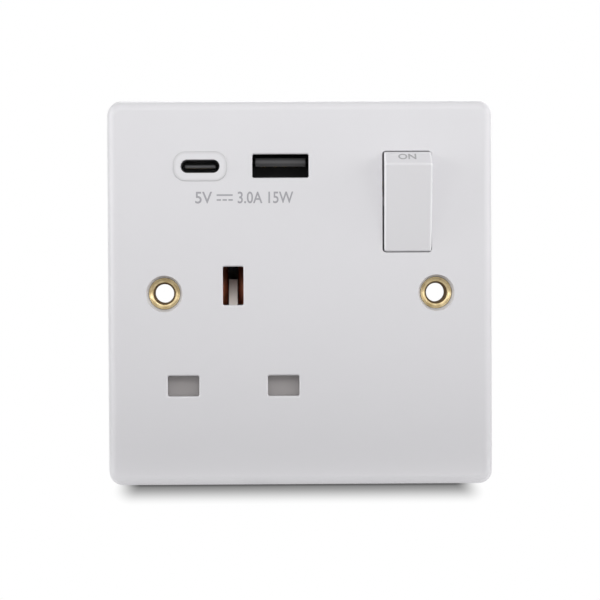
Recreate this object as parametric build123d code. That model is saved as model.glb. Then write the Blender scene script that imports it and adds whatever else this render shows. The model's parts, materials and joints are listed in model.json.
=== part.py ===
from build123d import *
import os
from math import cos, hypot, radians, sin, sqrt

# Sizes are in millimetres. Seen from the front, X is right, Y goes into the wall and Z is up.
# The origin lies on the wall plane, midway between the two fixing holes.

# Clearances
fit_gap = 0.05
slide_gap = 0.2
seam_gap = 0.15
cut_over = 1.0

# Front plate
plate_size = 86.0
plate_depth = 8.5
plate_wall = 2.5
skirt_wall = 2.2
plate_corner = 3.4
plate_edge = 2.0
plate_draft = 4.0
mouth_chamfer = 0.25
front_y = -plate_depth
inner_y = front_y + plate_wall

# Rear housing
housing_width = 65.2
housing_low = -31.6
housing_high = 34.4
housing_depth = 22.0
housing_wall = 1.6
housing_floor = 2.0
housing_corner = 3.0
housing_edge = 1.0
notch_x = 23.5
notch_half = 6.3
lip_height = 2.0
lip_width = 1.2
inside_x = housing_width / 2 - housing_wall
inside_low = housing_low + housing_wall
inside_high = housing_high - housing_wall
floor_y = housing_depth - housing_floor

# Fixing holes and their eyelets
fixing_spacing = 60.3
fixing_x = fixing_spacing / 2
fixing_recess = 8.1
recess_drop = 1.8
eyelet_mouth = 7.0
eyelet_lip = 0.2
lip_thickness = 0.3
eyelet_neck = 4.9
neck_length = 1.2
eyelet_bore = 4.0
eyelet_wall = 0.45
clinch_width = 0.5
fixing_boss = 9.2

# Pin sockets, by the pin standard
pin_spacing = 22.2
line_slot = (7.0, 4.6)
earth_slot = (4.6, 8.6)
slot_corner = 0.4
line_pin_reach = 17.7
line_width = 5.5
contact_side_gap = 2.25
pin_line_height = 9.5
neutral_x = -inside_x + contact_side_gap + line_width / 2
socket_x = neutral_x + pin_spacing / 2
live_x = neutral_x + pin_spacing
pin_line_z = inside_low + pin_line_height
earth_z = pin_line_z + pin_spacing
earth_low = earth_z - earth_slot[1] / 2

# Charging ports
insert_size = (11.9, 6.6)
insert_corner = 2.7
insert_mouth = (8.65, 3.0)
insert_gap = 0.02
insert_proud = 0.15
insert_edge = 0.14
flange_width = 1.0
flange_thickness = 1.0
port_side_gap = 1.95
port_top_gap = 0.3
port_spacing = 17.8
port_c_x = -inside_x + port_side_gap + flange_width + insert_size[0] / 2
port_a_x = port_c_x + port_spacing
port_z = inside_high - port_top_gap - flange_width - insert_size[1] / 2
shell_c = (8.94, 3.16)
tongue_c = (6.69, 0.7)
tongue_c_drop = 0.9
tongue_c_length = 5.6
window_a = (12.5, 5.25)
shell_a = (13.1, 5.72)
shell_a_corner = 0.6
tongue_a = (11.1, 1.84)
tongue_a_rise = 0.85
tongue_a_drop = 1.4
tongue_a_length = 7.6
shell_wall = 0.3
tongue_a_y = inner_y + tongue_a_drop

# Rocker
rocker_window = (10.95, 22.5)
window_corner = 0.8
rocker_side_gap = 0.22
rocker_drift = 0.16
rocker_end_gap = 0.2
sweep_margin = 0.03
rocker_tilt = 12.5
rocker_rise = 6.24
rocker_wall = 1.5
rocker_skirt = 2.0
rocker_edge = 0.5
rocker_ridge = 0.6
trunnion_radius = 1.2
trunnion_length = 1.5
bearing_wall = 1.6
bearing_half_height = 3.5
bearing_depth = 3.4
bearing_side_gap = 0.225
rocker_top_gap = 1.35
rocker_x = inside_x - bearing_side_gap - bearing_wall - rocker_window[0] / 2
rocker_z = inside_high - rocker_top_gap - rocker_window[1] / 2

tilt_sin = sin(radians(rocker_tilt))
tilt_cos = cos(radians(rocker_tilt))
rocker_width = rocker_window[0] - 2 * rocker_side_gap
# Pressed in, the end of the face is level with the plate and one gap short of the window
rocker_half = (rocker_window[1] / 2 - rocker_end_gap - rocker_rise * tilt_sin) / tilt_cos
pivot_depth = rocker_rise * tilt_cos - rocker_half * tilt_sin
pivot_y = front_y + pivot_depth
window_sweep = hypot(rocker_window[1] / 2, pivot_depth)
rocker_sweep = window_sweep - rocker_end_gap - sweep_margin

# Switch mechanism behind the rocker
stem_radius = 2.6
stem_reach = 3.6
stem_bore_top = 3.4
plunger_radius = 1.52
plunger_gap = 0.08
plunger_back = 0.4
plunger_reach = 7.0
plunger_dome = 2.5
plunger_spring_gap = 0.15
plunger_spring_turns = 4
spring_wire = 0.2
lever_swing = 8.0
lever_half = 7.9
lever_width = 6.0
lever_corner = 1.0
lever_thickness = 1.2
lever_face = 1.6
lever_clear = 0.1
lever_pin_radius = 1.0
lever_pin_length = 9.2
lever_y = pivot_y + plunger_reach + lever_clear + lever_face
tip_offset = 6.3
tip_radius = 1.4
tip_thickness = 0.6
tip_dome = 4.0
tip_gap = 0.1
ear_width = 4.0
ear_gap = 0.4
ear_clear = 1.2

# Shutter and its spring
shutter_thickness = 1.6
shutter_overlap = 0.7
stem_half = 2.2
stem_lap = 1.0
ramp_width = 1.9
ramp_rise = 1.3
ramp_leg = 1.8
stem_drop = 2.2
pocket_half = 2.4
pocket_rise = 1.8
seat_height = 1.5
seat_depth = 2.0
spring_rib_height = 1.0
spring_post_half = 2.0
spring_post_gap = 0.1
shutter_spring_radius = 1.6
shutter_spring_turns = 5
spigot_radius = 1.1
spigot_length = 1.3
rail_width = 1.4
rail_lip = 1.1
rail_rise = 7.7
rail_lap = 0.5
shutter_front = inner_y + slide_gap
shutter_rear = shutter_front + shutter_thickness
spring_axis_y = shutter_front + shutter_spring_radius + slide_gap
ramp_top = earth_z + ramp_rise
stem_top = earth_low - stem_drop
pocket_top = pin_line_z + pocket_rise
spring_rib_z = inside_low + spring_post_gap + spring_rib_height

# Metal strips, contacts and terminals
sheet = 0.8
leaf = 0.7
leaf_pinch = 4.0
leaf_spread = 0.3
strap_front = -1.6
strap_rear = strap_front + sheet
strap_half = 3.5
arch_width = 3.2
arch_gap = 0.7
clip_mouth_y = -3.2
clip_rear_y = 12.0
clip_gap = 2.3
clip_flare = 4.6
clip_rise = 4.4
clip_tab = 4.0
clip_leg = 3.5
clip_leg_lap = 1.0
clip_top = earth_z + clip_rise
arch_top = clip_top + clip_tab
line_mouth_y = -3.0
line_gap = 3.2
line_flare = 4.8
line_foot_inset = 1.0
pin_end_gap = 0.6
line_web_y = front_y + line_pin_reach + pin_end_gap
terminal_size = 8.0
terminal_chamfer = 0.4
terminal_gap = 1.0
terminal_low = inside_low + terminal_gap
terminal_high = terminal_low + terminal_size
terminal_mid_z = (terminal_low + terminal_high) / 2
terminal_front_gap = 0.3
terminal_front = line_web_y + leaf + terminal_front_gap
neutral_terminal_x = -inside_x + terminal_gap + terminal_size / 2
strip_y = floor_y - sheet
wire_radius = 2.1
wire_depth = 7.0
wire_wall = 0.9
wire_y = terminal_front + wire_wall + wire_radius
wire_least = 1.4
entry_size = 6.2
screw_radius = 2.0
screw_chamfer = 0.4
screw_sink = 0.3
screw_clear = 0.3
screw_slot = (0.8, 1.0)
access_radius = 3.0
screw_tip_y = wire_y + wire_radius + slide_gap
screw_rear_y = housing_depth - screw_sink
screw_travel = 2 * wire_radius - wire_least

# Screws that hold the housing to the plate
seat_y = 0.8
seat_thickness = 2.0
well_radius = 2.7
well_wall = 0.9
well_offset = 3.0
well_gap = 0.1
well_notch_gap = 1.5
boss_radius = 2.9
pilot_radius = 1.3
housing_screw_radius = 1.25
housing_screw_head = (2.5, 2.0)
housing_screw_reach = 5.8
cross_recess = (3.0, 0.7, 1.0)
well_outer = well_radius + well_wall
well_left_x = -inside_x + well_offset
well_right_x = inside_x - well_offset
well_side_z = notch_half + housing_wall + well_outer + well_notch_gap
well_top_x = rocker_x - rocker_window[0] / 2 - well_outer - well_gap
housing_screw_places = [(well_left_x, well_side_z), (well_left_x, -well_side_z),
                        (well_top_x, inside_high - well_offset), (well_right_x, inside_low + well_offset)]
live_terminal_gap = 2.4
live_terminal_x = well_right_x - well_outer - live_terminal_gap - terminal_size / 2

# Posts that keep the rocker's trunnions in their slots
keeper_tip_half = 1.0
keeper_foot_half = 2.0

# Strips on the housing floor
strip_width = 4.5
load_width = 4.0
load_pad_half = 2.0
load_pad_drop = 1.7
load_riser_rise = 2.0
load_run_width = 2.6
strip_gap = 0.4
feed_base_drop = 4.2
feed_run_lap = 2.5
feed_run_gap = 0.25
neutral_run_half = 1.75
contact_foot_room = 2.6

# Charger board
board_front = 8.5
board_thickness = 1.6
board_gap = 0.6
band_drop = 7.7
band_gap = 1.1
limb_gap = 2.0
neck_gap = 5.2
post_radius = 1.5
post_inset = 2.0
board_rear = board_front + board_thickness
board_left = -inside_x + board_gap
board_top = inside_high - board_gap
band_low = port_z - band_drop
band_right = well_top_x - well_outer - band_gap
limb_left = live_x + line_width / 2 + limb_gap
limb_right = notch_x - housing_wall - strip_gap
limb_low = terminal_high + limb_gap
limb_top = rocker_z - rocker_window[1] / 2 - limb_gap
neck_right = rocker_x - rocker_window[0] / 2 - neck_gap

# Parts on the board, each set in from the limb's corner nearest to it or from the ports
supply_pin_radius = 0.6
live_pin_rise = 9.0
neutral_pin_inset = (2.5, 2.8)
transformer_inset = (9.5, 7.0)
core_size = (14.0, 5.0, 13.0)
core_leg = 2.2
core_centre = 4.0
core_yoke = 2.5
core_front = 0.0
winding_size = (9.2, 10.2, 7.0)
winding_corner = 1.0
bobbin_overlap = 0.5
can_edge = 0.5
input_can_inset = (6.0, 6.0)
input_can_size = (4.0, 12.0)
output_can_inset = (5.0, 6.0)
output_can_size = (3.0, 7.2)
rectifier_inset = (13.5, 6.75)
rectifier_size = (5.0, 2.2, 4.5)
controller_drop = 2.7
controller_size = (5.0, 1.6, 4.0)
feed_run_x = limb_right - feed_run_gap - strip_width
live_pin_place = (feed_run_x + strip_width / 2, limb_low + live_pin_rise)
neutral_pin_place = (limb_left + neutral_pin_inset[0], limb_low + neutral_pin_inset[1])
transformer_place = (limb_right - transformer_inset[0], limb_low + transformer_inset[1])
input_can_place = (limb_left + input_can_inset[0], limb_top + input_can_inset[1])
output_can_place = (limb_left + output_can_inset[0], limb_top - output_can_inset[1])
rectifier_place = (limb_left + rectifier_inset[0], limb_top - rectifier_inset[1])
controller_place = (port_c_x + port_spacing / 2, port_z - controller_drop)

# The load strip runs midway between the neutral strip and the feed strip, with posts on its left
load_x = (neutral_pin_place[0] + neutral_run_half + feed_run_x - load_width) / 2
post_gap = 2.5
low_post_rise = 7.0
board_posts = [
    (board_left + post_inset, band_low + post_inset),
    (board_left + post_inset, board_top - post_inset),
    (load_x - post_gap, band_low + post_inset),
    (limb_left + post_inset, limb_top - post_inset),
    (load_x - post_gap, limb_low + low_post_rise),
]


def at_depth(y):
    # Sketch plane that faces the front at depth y, with local x along X and local y along Z
    return Plane.XZ.offset(-y)


def slab(sketch, near, far):
    # Front-view sketch made solid between two depths
    return extrude(at_depth(far) * sketch, far - near)


def block(x0, x1, y0, y1, z0, z1):
    return Pos((x0 + x1) / 2, (y0 + y1) / 2, (z0 + z1) / 2) * Box(x1 - x0, y1 - y0, z1 - z0)


def area(x0, x1, z0, z1):
    # Front-view rectangle
    return Pos((x0 + x1) / 2, (z0 + z1) / 2) * Rectangle(x1 - x0, z1 - z0)


def disc(x, z, radius):
    return Pos(x, z) * Circle(radius)


def turned(points, x, z):
    # Solid turned about an axis along Y at (x, z), from (radius, depth) points
    profile = make_face(Polyline(*points, close=True))
    return Pos(x, 0, z) * revolve(profile, Axis.Y)


def side_prism(points, x0, x1):
    # Side-view outline of (depth, height) points, made solid from x0 to x1
    outline = make_face(Polyline(*points, close=True))
    return extrude(Plane.YZ.offset(x0) * outline, x1 - x0)


def cross_rod(y, z, radius, x0, x1):
    # Round bar along X
    return extrude(Plane.YZ.offset(x0) * Pos(y, z) * Circle(radius), x1 - x0)


def upright_rod(x, y, radius, z0, z1):
    # Round bar along Z
    return extrude(Plane.XY.offset(z0) * Pos(x, y) * Circle(radius), z1 - z0)


def mirrored_pair(shape, x):
    # A shape built about x = 0 with its mirror image, both moved to x
    return Pos(x, 0, 0) * (shape + mirror(shape, about=Plane.YZ))


def flared_cut(sketch, far):
    # Straight opening with a chamfered mouth in the front face
    mouth = extrude(at_depth(front_y + mouth_chamfer) * sketch, mouth_chamfer * 2, taper=-45)
    return slab(sketch, front_y - cut_over, far) + mouth


def coil(radius, wire, length, turns):
    # Square-wire spring standing on the XY plane, its ends inside the length
    rise = length - 2 * wire
    path = Helix(rise / turns, rise, radius - wire)
    section = Plane(origin=path @ 0, z_dir=path % 0) * Rectangle(2 * wire, 2 * wire)
    return Pos(0, 0, wire) * sweep(section, path, is_frenet=True)


# Front plate
def eyelet_profile(grow):
    # Outside of the eyelet, from its lip to its rear end, grown by a gap
    lip_y = front_y + recess_drop
    barrel = eyelet_neck / 2 + eyelet_wall
    lip = eyelet_mouth / 2
    cone_y = lip_y + lip_thickness
    return [(lip + grow, lip_y), (lip + grow, cone_y), (barrel + grow, cone_y + lip - barrel)]


def fixing_cut(x):
    # Recess that narrows to the eyelet's lip, then the eyelet's own outside
    barrel = eyelet_neck / 2 + eyelet_wall + fit_gap
    mouth = fixing_recess / 2
    outside = eyelet_profile(fit_gap)
    over_y = front_y - cut_over
    return turned([(0, over_y), (mouth, over_y), (mouth, front_y), *outside, (barrel, 0), (0, 0)], x, 0)


def rocker_cut():
    # Window whose ends follow the sweep of the rocker about its pivot
    width, height = rocker_window
    body = block(-width / 2, width / 2, front_y - cut_over, inner_y + fit_gap, -height, height)
    sweep_cylinder = cross_rod(pivot_y, 0, window_sweep, -width, width)
    cut = body & sweep_cylinder
    cut = fillet(cut.edges().filter_by(GeomType.CIRCLE), window_corner)
    return Pos(rocker_x, 0, rocker_z) * cut


def rocker_bearing():
    # Wall with a slot, open to the rear, that takes one trunnion; built about the rocker's own x and z
    near = rocker_window[0] / 2
    far = near + bearing_wall
    rear = inner_y + bearing_depth
    seat = trunnion_radius + fit_gap
    wall = block(near, far, inner_y, rear, -bearing_half_height, bearing_half_height)
    wall -= block(near, far, pivot_y, rear, -seat, seat)
    wall -= cross_rod(pivot_y, 0, seat, near, far)
    return wall


def shutter_rail():
    # Hooked rail beside the shutter's stem, built about x = 0
    near = stem_half + slide_gap
    lip_y = shutter_rear + slide_gap
    ends = (pin_line_z + rail_rise, stem_top + rail_lap)
    rail = block(near, near + rail_width, inner_y, lip_y + rail_lip, *ends)
    return rail + block(near - rail_lip, near, lip_y, lip_y + rail_lip, *ends)


def spring_post():
    half = spring_post_half
    base_z = spring_rib_z - spring_rib_height
    post = block(-half, half, inner_y, shutter_rear + seat_depth, base_z, spring_rib_z)
    post += upright_rod(0, spring_axis_y, spigot_radius, spring_rib_z, spring_rib_z + spigot_length)
    return Pos(socket_x, 0, 0) * post


def housing_outline():
    mid_z = (housing_low + housing_high) / 2
    outline = Pos(0, mid_z) * RectangleRounded(housing_width, housing_high - housing_low, housing_corner)
    for side in (-1, 1):
        outline -= Pos(side * (notch_x + housing_width / 2), 0) * Rectangle(housing_width, 2 * notch_half)
    return outline


def front_plate():
    inside = plate_size - 2 * skirt_wall
    plate = extrude(at_depth(0) * RectangleRounded(plate_size, plate_size, plate_corner),
                    plate_depth, taper=plate_draft)
    plate = fillet(plate.faces().sort_by(Axis.Y)[0].edges(), plate_edge)
    plate -= extrude(at_depth(0) * RectangleRounded(inside, inside, plate_corner - skirt_wall),
                     plate_depth - plate_wall, taper=plate_draft)

    outline = housing_outline()
    lip = offset(outline, seam_gap + lip_width) - offset(outline, seam_gap)
    plate += slab(lip, inner_y, inner_y + lip_height)
    for side in (-1, 1):
        plate += slab(disc(side * fixing_x, 0, fixing_boss / 2), inner_y, strap_front)
    for x, z in housing_screw_places:
        plate += slab(disc(x, z, boss_radius), inner_y, seat_y)
        plate -= slab(disc(x, z, pilot_radius), seat_y - housing_screw_reach - slide_gap, seat_y)
    plate += Pos(0, 0, rocker_z) * mirrored_pair(rocker_bearing(), rocker_x)
    plate += mirrored_pair(shutter_rail(), socket_x)
    plate += spring_post()

    for x in (live_x, neutral_x):
        plate -= flared_cut(Pos(x, pin_line_z) * RectangleRounded(*line_slot, slot_corner), inner_y)
    plate -= flared_cut(Pos(socket_x, earth_z) * RectangleRounded(*earth_slot, slot_corner), inner_y)
    plate -= flared_cut(Pos(port_a_x, port_z) * RectangleRounded(*window_a, slot_corner), inner_y)
    plate -= slab(Pos(port_c_x, port_z) * insert_outline(0), front_y - cut_over, inner_y)
    plate -= rocker_cut()
    for side in (-1, 1):
        plate -= fixing_cut(side * fixing_x)
    return plate


def fixing_eyelet(side):
    lip_y = front_y + recess_drop
    barrel = eyelet_neck / 2 + eyelet_wall
    neck = eyelet_neck / 2
    mouth = eyelet_mouth / 2 - eyelet_lip
    neck_y = lip_y + mouth - neck
    step_y = neck_y + neck_length
    bore = eyelet_bore / 2
    outside = eyelet_profile(0)
    clinch = [(barrel, strap_rear), (barrel + clinch_width, strap_rear), (barrel, strap_rear + clinch_width)]
    end_y = strap_rear + clinch_width
    inside = [(bore, end_y), (bore, step_y), (neck, step_y), (neck, neck_y), (mouth, lip_y)]
    return turned(outside + clinch + inside, side * fixing_x, 0)


# Rocker and the switch behind it
def rocker_side(inset):
    # Side outline about the pivot: face, two bevels and two skirts, inset by a wall
    # The bevel's foot lies at plate level when that end stands out
    foot_out = pivot_depth
    foot_up = sqrt(rocker_sweep ** 2 - foot_out ** 2)
    foot_z = foot_up * tilt_cos + foot_out * tilt_sin
    foot_y = foot_up * tilt_sin - foot_out * tilt_cos
    skirt_z = sqrt(rocker_sweep ** 2 - rocker_skirt ** 2)
    half = [(inset - rocker_rise, rocker_half - inset), (foot_y, foot_z - inset),
            (rocker_skirt, skirt_z - inset)]
    return half + [(y, -z) for y, z in reversed(half)]


def at_rocker(shape):
    # From the rocker's own frame, square to the plate, to its tilted place
    return Pos(rocker_x + rocker_drift, pivot_y, rocker_z) * Rot(rocker_tilt, 0, 0) * shape


def rocker():
    half = rocker_width / 2
    body = side_prism(rocker_side(0), -half, half)
    ridges = body.edges().filter_by(Axis.X).filter_by(lambda edge: edge.center().Y < fit_gap - rocker_rise)
    body = fillet(ridges, rocker_ridge)
    sides = body.edges().filter_by(lambda edge: edge.center().Y < 0 and abs(edge.center().X) > half - fit_gap)
    body = fillet(sides, rocker_edge)
    body -= side_prism(rocker_side(rocker_wall), rocker_wall - half, half - rocker_wall)
    stem = slab(disc(0, 0, stem_radius), -rocker_rise + rocker_wall, stem_reach)
    body += stem
    body -= slab(disc(0, 0, plunger_radius + plunger_gap), -stem_bore_top, stem_reach)
    body += cross_rod(0, 0, trunnion_radius, -half - trunnion_length, rocker_wall - half)
    body += cross_rod(0, 0, trunnion_radius, half - rocker_wall, half + trunnion_length)
    return at_rocker(body)


def switch_plunger():
    # Domed end that slides along the see-saw
    body = slab(disc(0, 0, plunger_radius), plunger_back, plunger_reach)
    dome = Pos(0, plunger_reach - plunger_dome, 0) * Sphere(plunger_dome)
    shaft = slab(disc(0, 0, plunger_radius), plunger_back, plunger_reach - plunger_dome)
    return at_rocker(shaft + (body & dome))


def plunger_spring():
    length = stem_bore_top + plunger_back
    spring = coil(plunger_radius - plunger_spring_gap, spring_wire, length, plunger_spring_turns)
    return at_rocker(Pos(0, plunger_back, 0) * Rot(90, 0, 0) * spring)


def at_lever(shape):
    # From the see-saw's own frame to its tilted place, its upper end to the rear
    return Pos(rocker_x, lever_y, rocker_z) * Rot(-lever_swing, 0, 0) * shape


def moving_contact():
    outline = RectangleRounded(lever_width, 2 * lever_half, lever_corner)
    plate = slab(outline, -lever_face, lever_thickness - lever_face)
    pin = cross_rod(0, 0, lever_pin_radius, -lever_pin_length / 2, lever_pin_length / 2)
    return at_lever(plate + pin)


def moving_contact_tip():
    rear = lever_thickness - lever_face
    return at_lever(slab(disc(0, tip_offset, tip_radius), rear, rear + tip_thickness))


def closed_tip_place():
    # Depth and height of the middle of the moving tip's face with the switch closed
    face = lever_thickness - lever_face + tip_thickness
    swing = radians(lever_swing)
    y = lever_y + face * cos(swing) + tip_offset * sin(swing)
    z = rocker_z + tip_offset * cos(swing) - face * sin(swing)
    return y, z


def fixed_contact_tip():
    y, z = closed_tip_place()
    front = y + tip_gap
    body = slab(disc(rocker_x, z, tip_radius), front, front + tip_thickness)
    dome = Pos(rocker_x, front + tip_dome, z) * Sphere(tip_dome)
    return body & dome


# Shutter
def shutter():
    low = pin_line_z - line_slot[1] / 2 - shutter_overlap
    high = pin_line_z + line_slot[1] / 2 + shutter_overlap
    reach = pin_spacing / 2 + line_slot[0] / 2 + shutter_overlap
    sketch = area(-reach, reach, low, high) + area(-stem_half, stem_half, low, stem_top + stem_lap)
    sketch -= area(-pocket_half, pocket_half, low, pocket_top)
    body = slab(sketch, shutter_front, shutter_rear)
    # Seat that carries the spring, thicker than the blade
    body += block(-pocket_half, pocket_half, shutter_front, shutter_rear + seat_depth,
                  pocket_top, pocket_top + seat_height)
    body += upright_rod(0, spring_axis_y, spigot_radius, pocket_top - spigot_length, pocket_top)
    # Ramp at 45 degrees that the earth pin pushes down
    ramp_rear = shutter_front + ramp_top - earth_low
    ramp = [(shutter_front, earth_low), (ramp_rear, ramp_top), (ramp_rear, ramp_top - ramp_leg),
            (shutter_rear, stem_top), (shutter_front, stem_top)]
    body += side_prism(ramp, -ramp_width / 2, ramp_width / 2)
    return Pos(socket_x, 0, 0) * body


def shutter_spring():
    spring = coil(shutter_spring_radius, spring_wire, pocket_top - spring_rib_z, shutter_spring_turns)
    return Pos(socket_x, spring_axis_y, spring_rib_z) * spring


# Contacts, strips and terminals
def leaf_outline(mouth_y, rear_y, gap, flare):
    # Half of a spring clip seen edge on: flared mouth, pinch and a slightly open rear
    inner = [(mouth_y, flare / 2), (mouth_y + leaf_pinch, gap / 2), (rear_y, gap / 2 + leaf_spread)]
    outer = [(y, offset_from + leaf) for y, offset_from in reversed(inner)]
    return inner + outer


def earth_contact():
    low = earth_low
    outline = leaf_outline(clip_mouth_y, clip_rear_y, clip_gap, clip_flare)
    face = make_face(Polyline(*[(x, y) for y, x in outline], close=True))
    side = extrude(Plane.XY.offset(low) * face, clip_top + leaf - low)
    rear_half = clip_gap / 2 + leaf_spread + leaf
    clip = side + mirror(side, about=Plane.YZ)
    clip += block(-rear_half, rear_half, strap_rear, clip_rear_y, clip_top, clip_top + leaf)
    # Tab riveted to the strap, and a leg that stands on the earth terminal
    clip += block(-rear_half, rear_half, strap_rear, strap_rear + leaf, clip_top, arch_top)
    clip += block(-rear_half, leaf - rear_half, clip_rear_y - clip_leg, clip_rear_y,
                  terminal_high, low + clip_leg_lap)
    return Pos(socket_x, 0, 0) * clip


def earth_strap():
    window_half = clip_flare / 2 + leaf + arch_gap
    arch = area(-window_half - arch_width, window_half + arch_width, -strap_half, arch_top)
    arch -= area(-window_half, window_half, -strap_half, clip_top + leaf + slide_gap)
    bars = area(-fixing_x, socket_x - window_half, -strap_half, strap_half)
    bars += area(socket_x + window_half, fixing_x, -strap_half, strap_half)
    strap = bars + Pos(socket_x, 0) * arch
    hole = eyelet_neck / 2 + eyelet_wall + fit_gap
    for side in (-1, 1):
        strap += disc(side * fixing_x, 0, fixing_boss / 2)
        strap -= disc(side * fixing_x, 0, hole)
    return slab(strap, strap_front, strap_rear)


def line_contact(x):
    outline = leaf_outline(line_mouth_y, line_web_y, line_gap, line_flare)
    half = line_width / 2
    upper = side_prism(outline, -half, half)
    clip = upper + mirror(upper, about=Plane.XY)
    web_half = line_gap / 2 + leaf_spread + leaf
    foot = half - line_foot_inset
    clip += block(-half, half, line_web_y, line_web_y + leaf, -web_half, web_half)
    clip += block(-foot, foot, line_web_y, strip_y, -leaf / 2, leaf / 2)
    return Pos(x, 0, pin_line_z) * clip


def terminal_block(x):
    half = terminal_size / 2
    body = block(-half, half, terminal_front, strip_y, terminal_low, terminal_high)
    body = chamfer(body.edges(), terminal_chamfer)
    body -= upright_rod(0, wire_y, wire_radius, terminal_low, terminal_low + wire_depth)
    body -= slab(disc(0, terminal_mid_z, screw_radius + fit_gap), screw_tip_y - screw_travel, strip_y)
    return Pos(x, 0, 0) * body


def terminal_screw(x):
    slot_width, slot_depth = screw_slot
    body = slab(disc(0, terminal_mid_z, screw_radius), screw_tip_y, screw_rear_y)
    body = chamfer(body.faces().sort_by(Axis.Y)[0].edges(), screw_chamfer)
    slot = Pos(0, terminal_mid_z) * Rectangle(2 * screw_radius, slot_width)
    body -= slab(slot, screw_rear_y - slot_depth, screw_rear_y)
    return Pos(x, 0, 0) * body


def strip(sketch):
    # Flat strip that lies on the housing floor
    return slab(sketch, strip_y, floor_y)


def screw_pad(x):
    # Strip under a terminal block, with room for its screw
    half = terminal_size / 2
    pad = area(x - half, x + half, terminal_low, terminal_high + strip_gap)
    return pad - disc(x, terminal_mid_z, screw_radius + screw_clear)


def neutral_strip():
    # From the neutral terminal past the neutral contact to the board's supply pin
    pin_x, pin_z = neutral_pin_place
    half = terminal_size / 2
    run_low = pin_z - neutral_run_half
    riser = area(neutral_terminal_x - half, neutral_x + half, terminal_high, run_low + sheet)
    run = area(neutral_x + neutral_run_half, pin_x + neutral_run_half, run_low, pin_z + neutral_run_half)
    return strip(screw_pad(neutral_terminal_x) + riser + run)


def live_feed_strip():
    # From the live terminal up to the two ears that carry the see-saw
    ear_half = ear_width / 2
    near = lever_width / 2 + ear_gap
    base_low = rocker_z - ear_half - feed_base_drop
    left, right = rocker_x - near - sheet, rocker_x + near + sheet
    base = area(left, right, base_low, rocker_z + ear_half)
    run = area(feed_run_x, feed_run_x + strip_width, terminal_high, base_low + feed_run_lap)
    run += area(min(feed_run_x, left), right, base_low, base_low + feed_run_lap)
    feed = strip(screw_pad(live_terminal_x) + run + base)
    front = lever_y - ear_clear
    seat = lever_pin_radius + fit_gap
    ear = block(near, near + sheet, front, floor_y, -ear_half, ear_half)
    ear -= block(near, near + sheet, front, lever_y, -seat, seat)
    ear -= cross_rod(lever_y, 0, seat, near, near + sheet)
    return feed + Pos(0, 0, rocker_z) * mirrored_pair(ear, rocker_x)


def live_load_strip():
    # From the fixed contact tip, round the board, to the live contact
    y, z = closed_tip_place()
    pad_y = y + tip_gap + tip_thickness
    near, far = rocker_x - load_pad_half, rocker_x + load_pad_half
    riser_z = z + load_riser_rise
    foot_z = rocker_z + ear_width / 2 + strip_gap
    low = pin_line_z - contact_foot_room
    left = load_x
    sketch = area(near, far, foot_z, riser_z + sheet)
    sketch += area(left, far, foot_z, foot_z + load_run_width)
    sketch += area(left, left + load_width, low, foot_z + load_run_width)
    sketch += area(live_x - line_width / 2, left + load_width, low, low + load_run_width + leaf)
    load = strip(sketch)
    load += block(near, far, pad_y, floor_y, riser_z, riser_z + sheet)
    load += block(near, far, pad_y, pad_y + sheet, z - load_pad_drop, riser_z + sheet)
    return load


# Rear housing
def rear_housing():
    outline = housing_outline()
    inside = offset(outline, -housing_wall, kind=Kind.INTERSECTION)
    tray = slab(outline, inner_y, housing_depth)
    tray = fillet(tray.faces().sort_by(Axis.Y)[-1].edges(), housing_edge)
    tray -= slab(inside, inner_y, floor_y)

    # Posts that keep the rocker's trunnions in their slots
    post_near = rocker_window[0] / 2 + slide_gap / 2
    post_far = post_near + bearing_wall - slide_gap
    tip_y = pivot_y + trunnion_radius + seam_gap
    neck_y = inner_y + bearing_depth + slide_gap
    tip, foot = keeper_tip_half, keeper_foot_half
    post = [(tip_y, -tip), (neck_y, -tip), (floor_y, -foot), (floor_y, foot), (neck_y, tip), (tip_y, tip)]
    tray += Pos(0, 0, rocker_z) * mirrored_pair(side_prism(post, post_near, post_far), rocker_x)

    for x, z in board_posts:
        tray += slab(disc(x, z, post_radius), board_rear, floor_y)
    half = terminal_size / 2
    tray += slab(area(socket_x - half, socket_x + half, terminal_low, terminal_high), strip_y, floor_y)
    for x, z in housing_screw_places:
        tray += slab(disc(x, z, well_outer), seat_y, floor_y)
        tray -= slab(disc(x, z, well_radius), seat_y + seat_thickness, housing_depth)
        tray -= slab(disc(x, z, housing_screw_radius + slide_gap), seat_y, seat_y + seat_thickness)

    entry = entry_size / 2
    for x in (neutral_terminal_x, socket_x, live_terminal_x):
        tray -= slab(disc(x, terminal_mid_z, access_radius), floor_y, housing_depth)
        tray -= slab(disc(x, terminal_mid_z, screw_radius + screw_clear), strip_y, floor_y)
        tray -= block(x - entry, x + entry, wire_y - entry, wire_y + entry, housing_low, inside_low)
    # Slots that let the earth strap out to the fixing holes
    for side in (-1, 1):
        near, far = sorted((side * (notch_x - housing_wall), side * notch_x))
        tray -= block(near, far, strap_front - slide_gap, strap_rear + slide_gap,
                      -strap_half - slide_gap, strap_half + slide_gap)
    return tray


def housing_screws():
    head_radius, head_height = housing_screw_head
    recess_length, recess_width, recess_depth = cross_recess
    head_y = seat_y + seat_thickness
    rear = head_y + head_height
    cross = Rectangle(recess_length, recess_width) + Rectangle(recess_width, recess_length)
    screws = []
    for x, z in housing_screw_places:
        head = slab(disc(x, z, head_radius), head_y, rear)
        head -= slab(Pos(x, z) * cross, rear - recess_depth, rear)
        screws.append(head + slab(disc(x, z, housing_screw_radius), seat_y - housing_screw_reach, head_y))
    return Compound(children=screws)


# Charging ports and the charger board
def insert_outline(grow):
    # Outline of the port insert, grown all round
    width, height = insert_size
    return RectangleRounded(width + 2 * grow, height + 2 * grow, insert_corner + grow)


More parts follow.
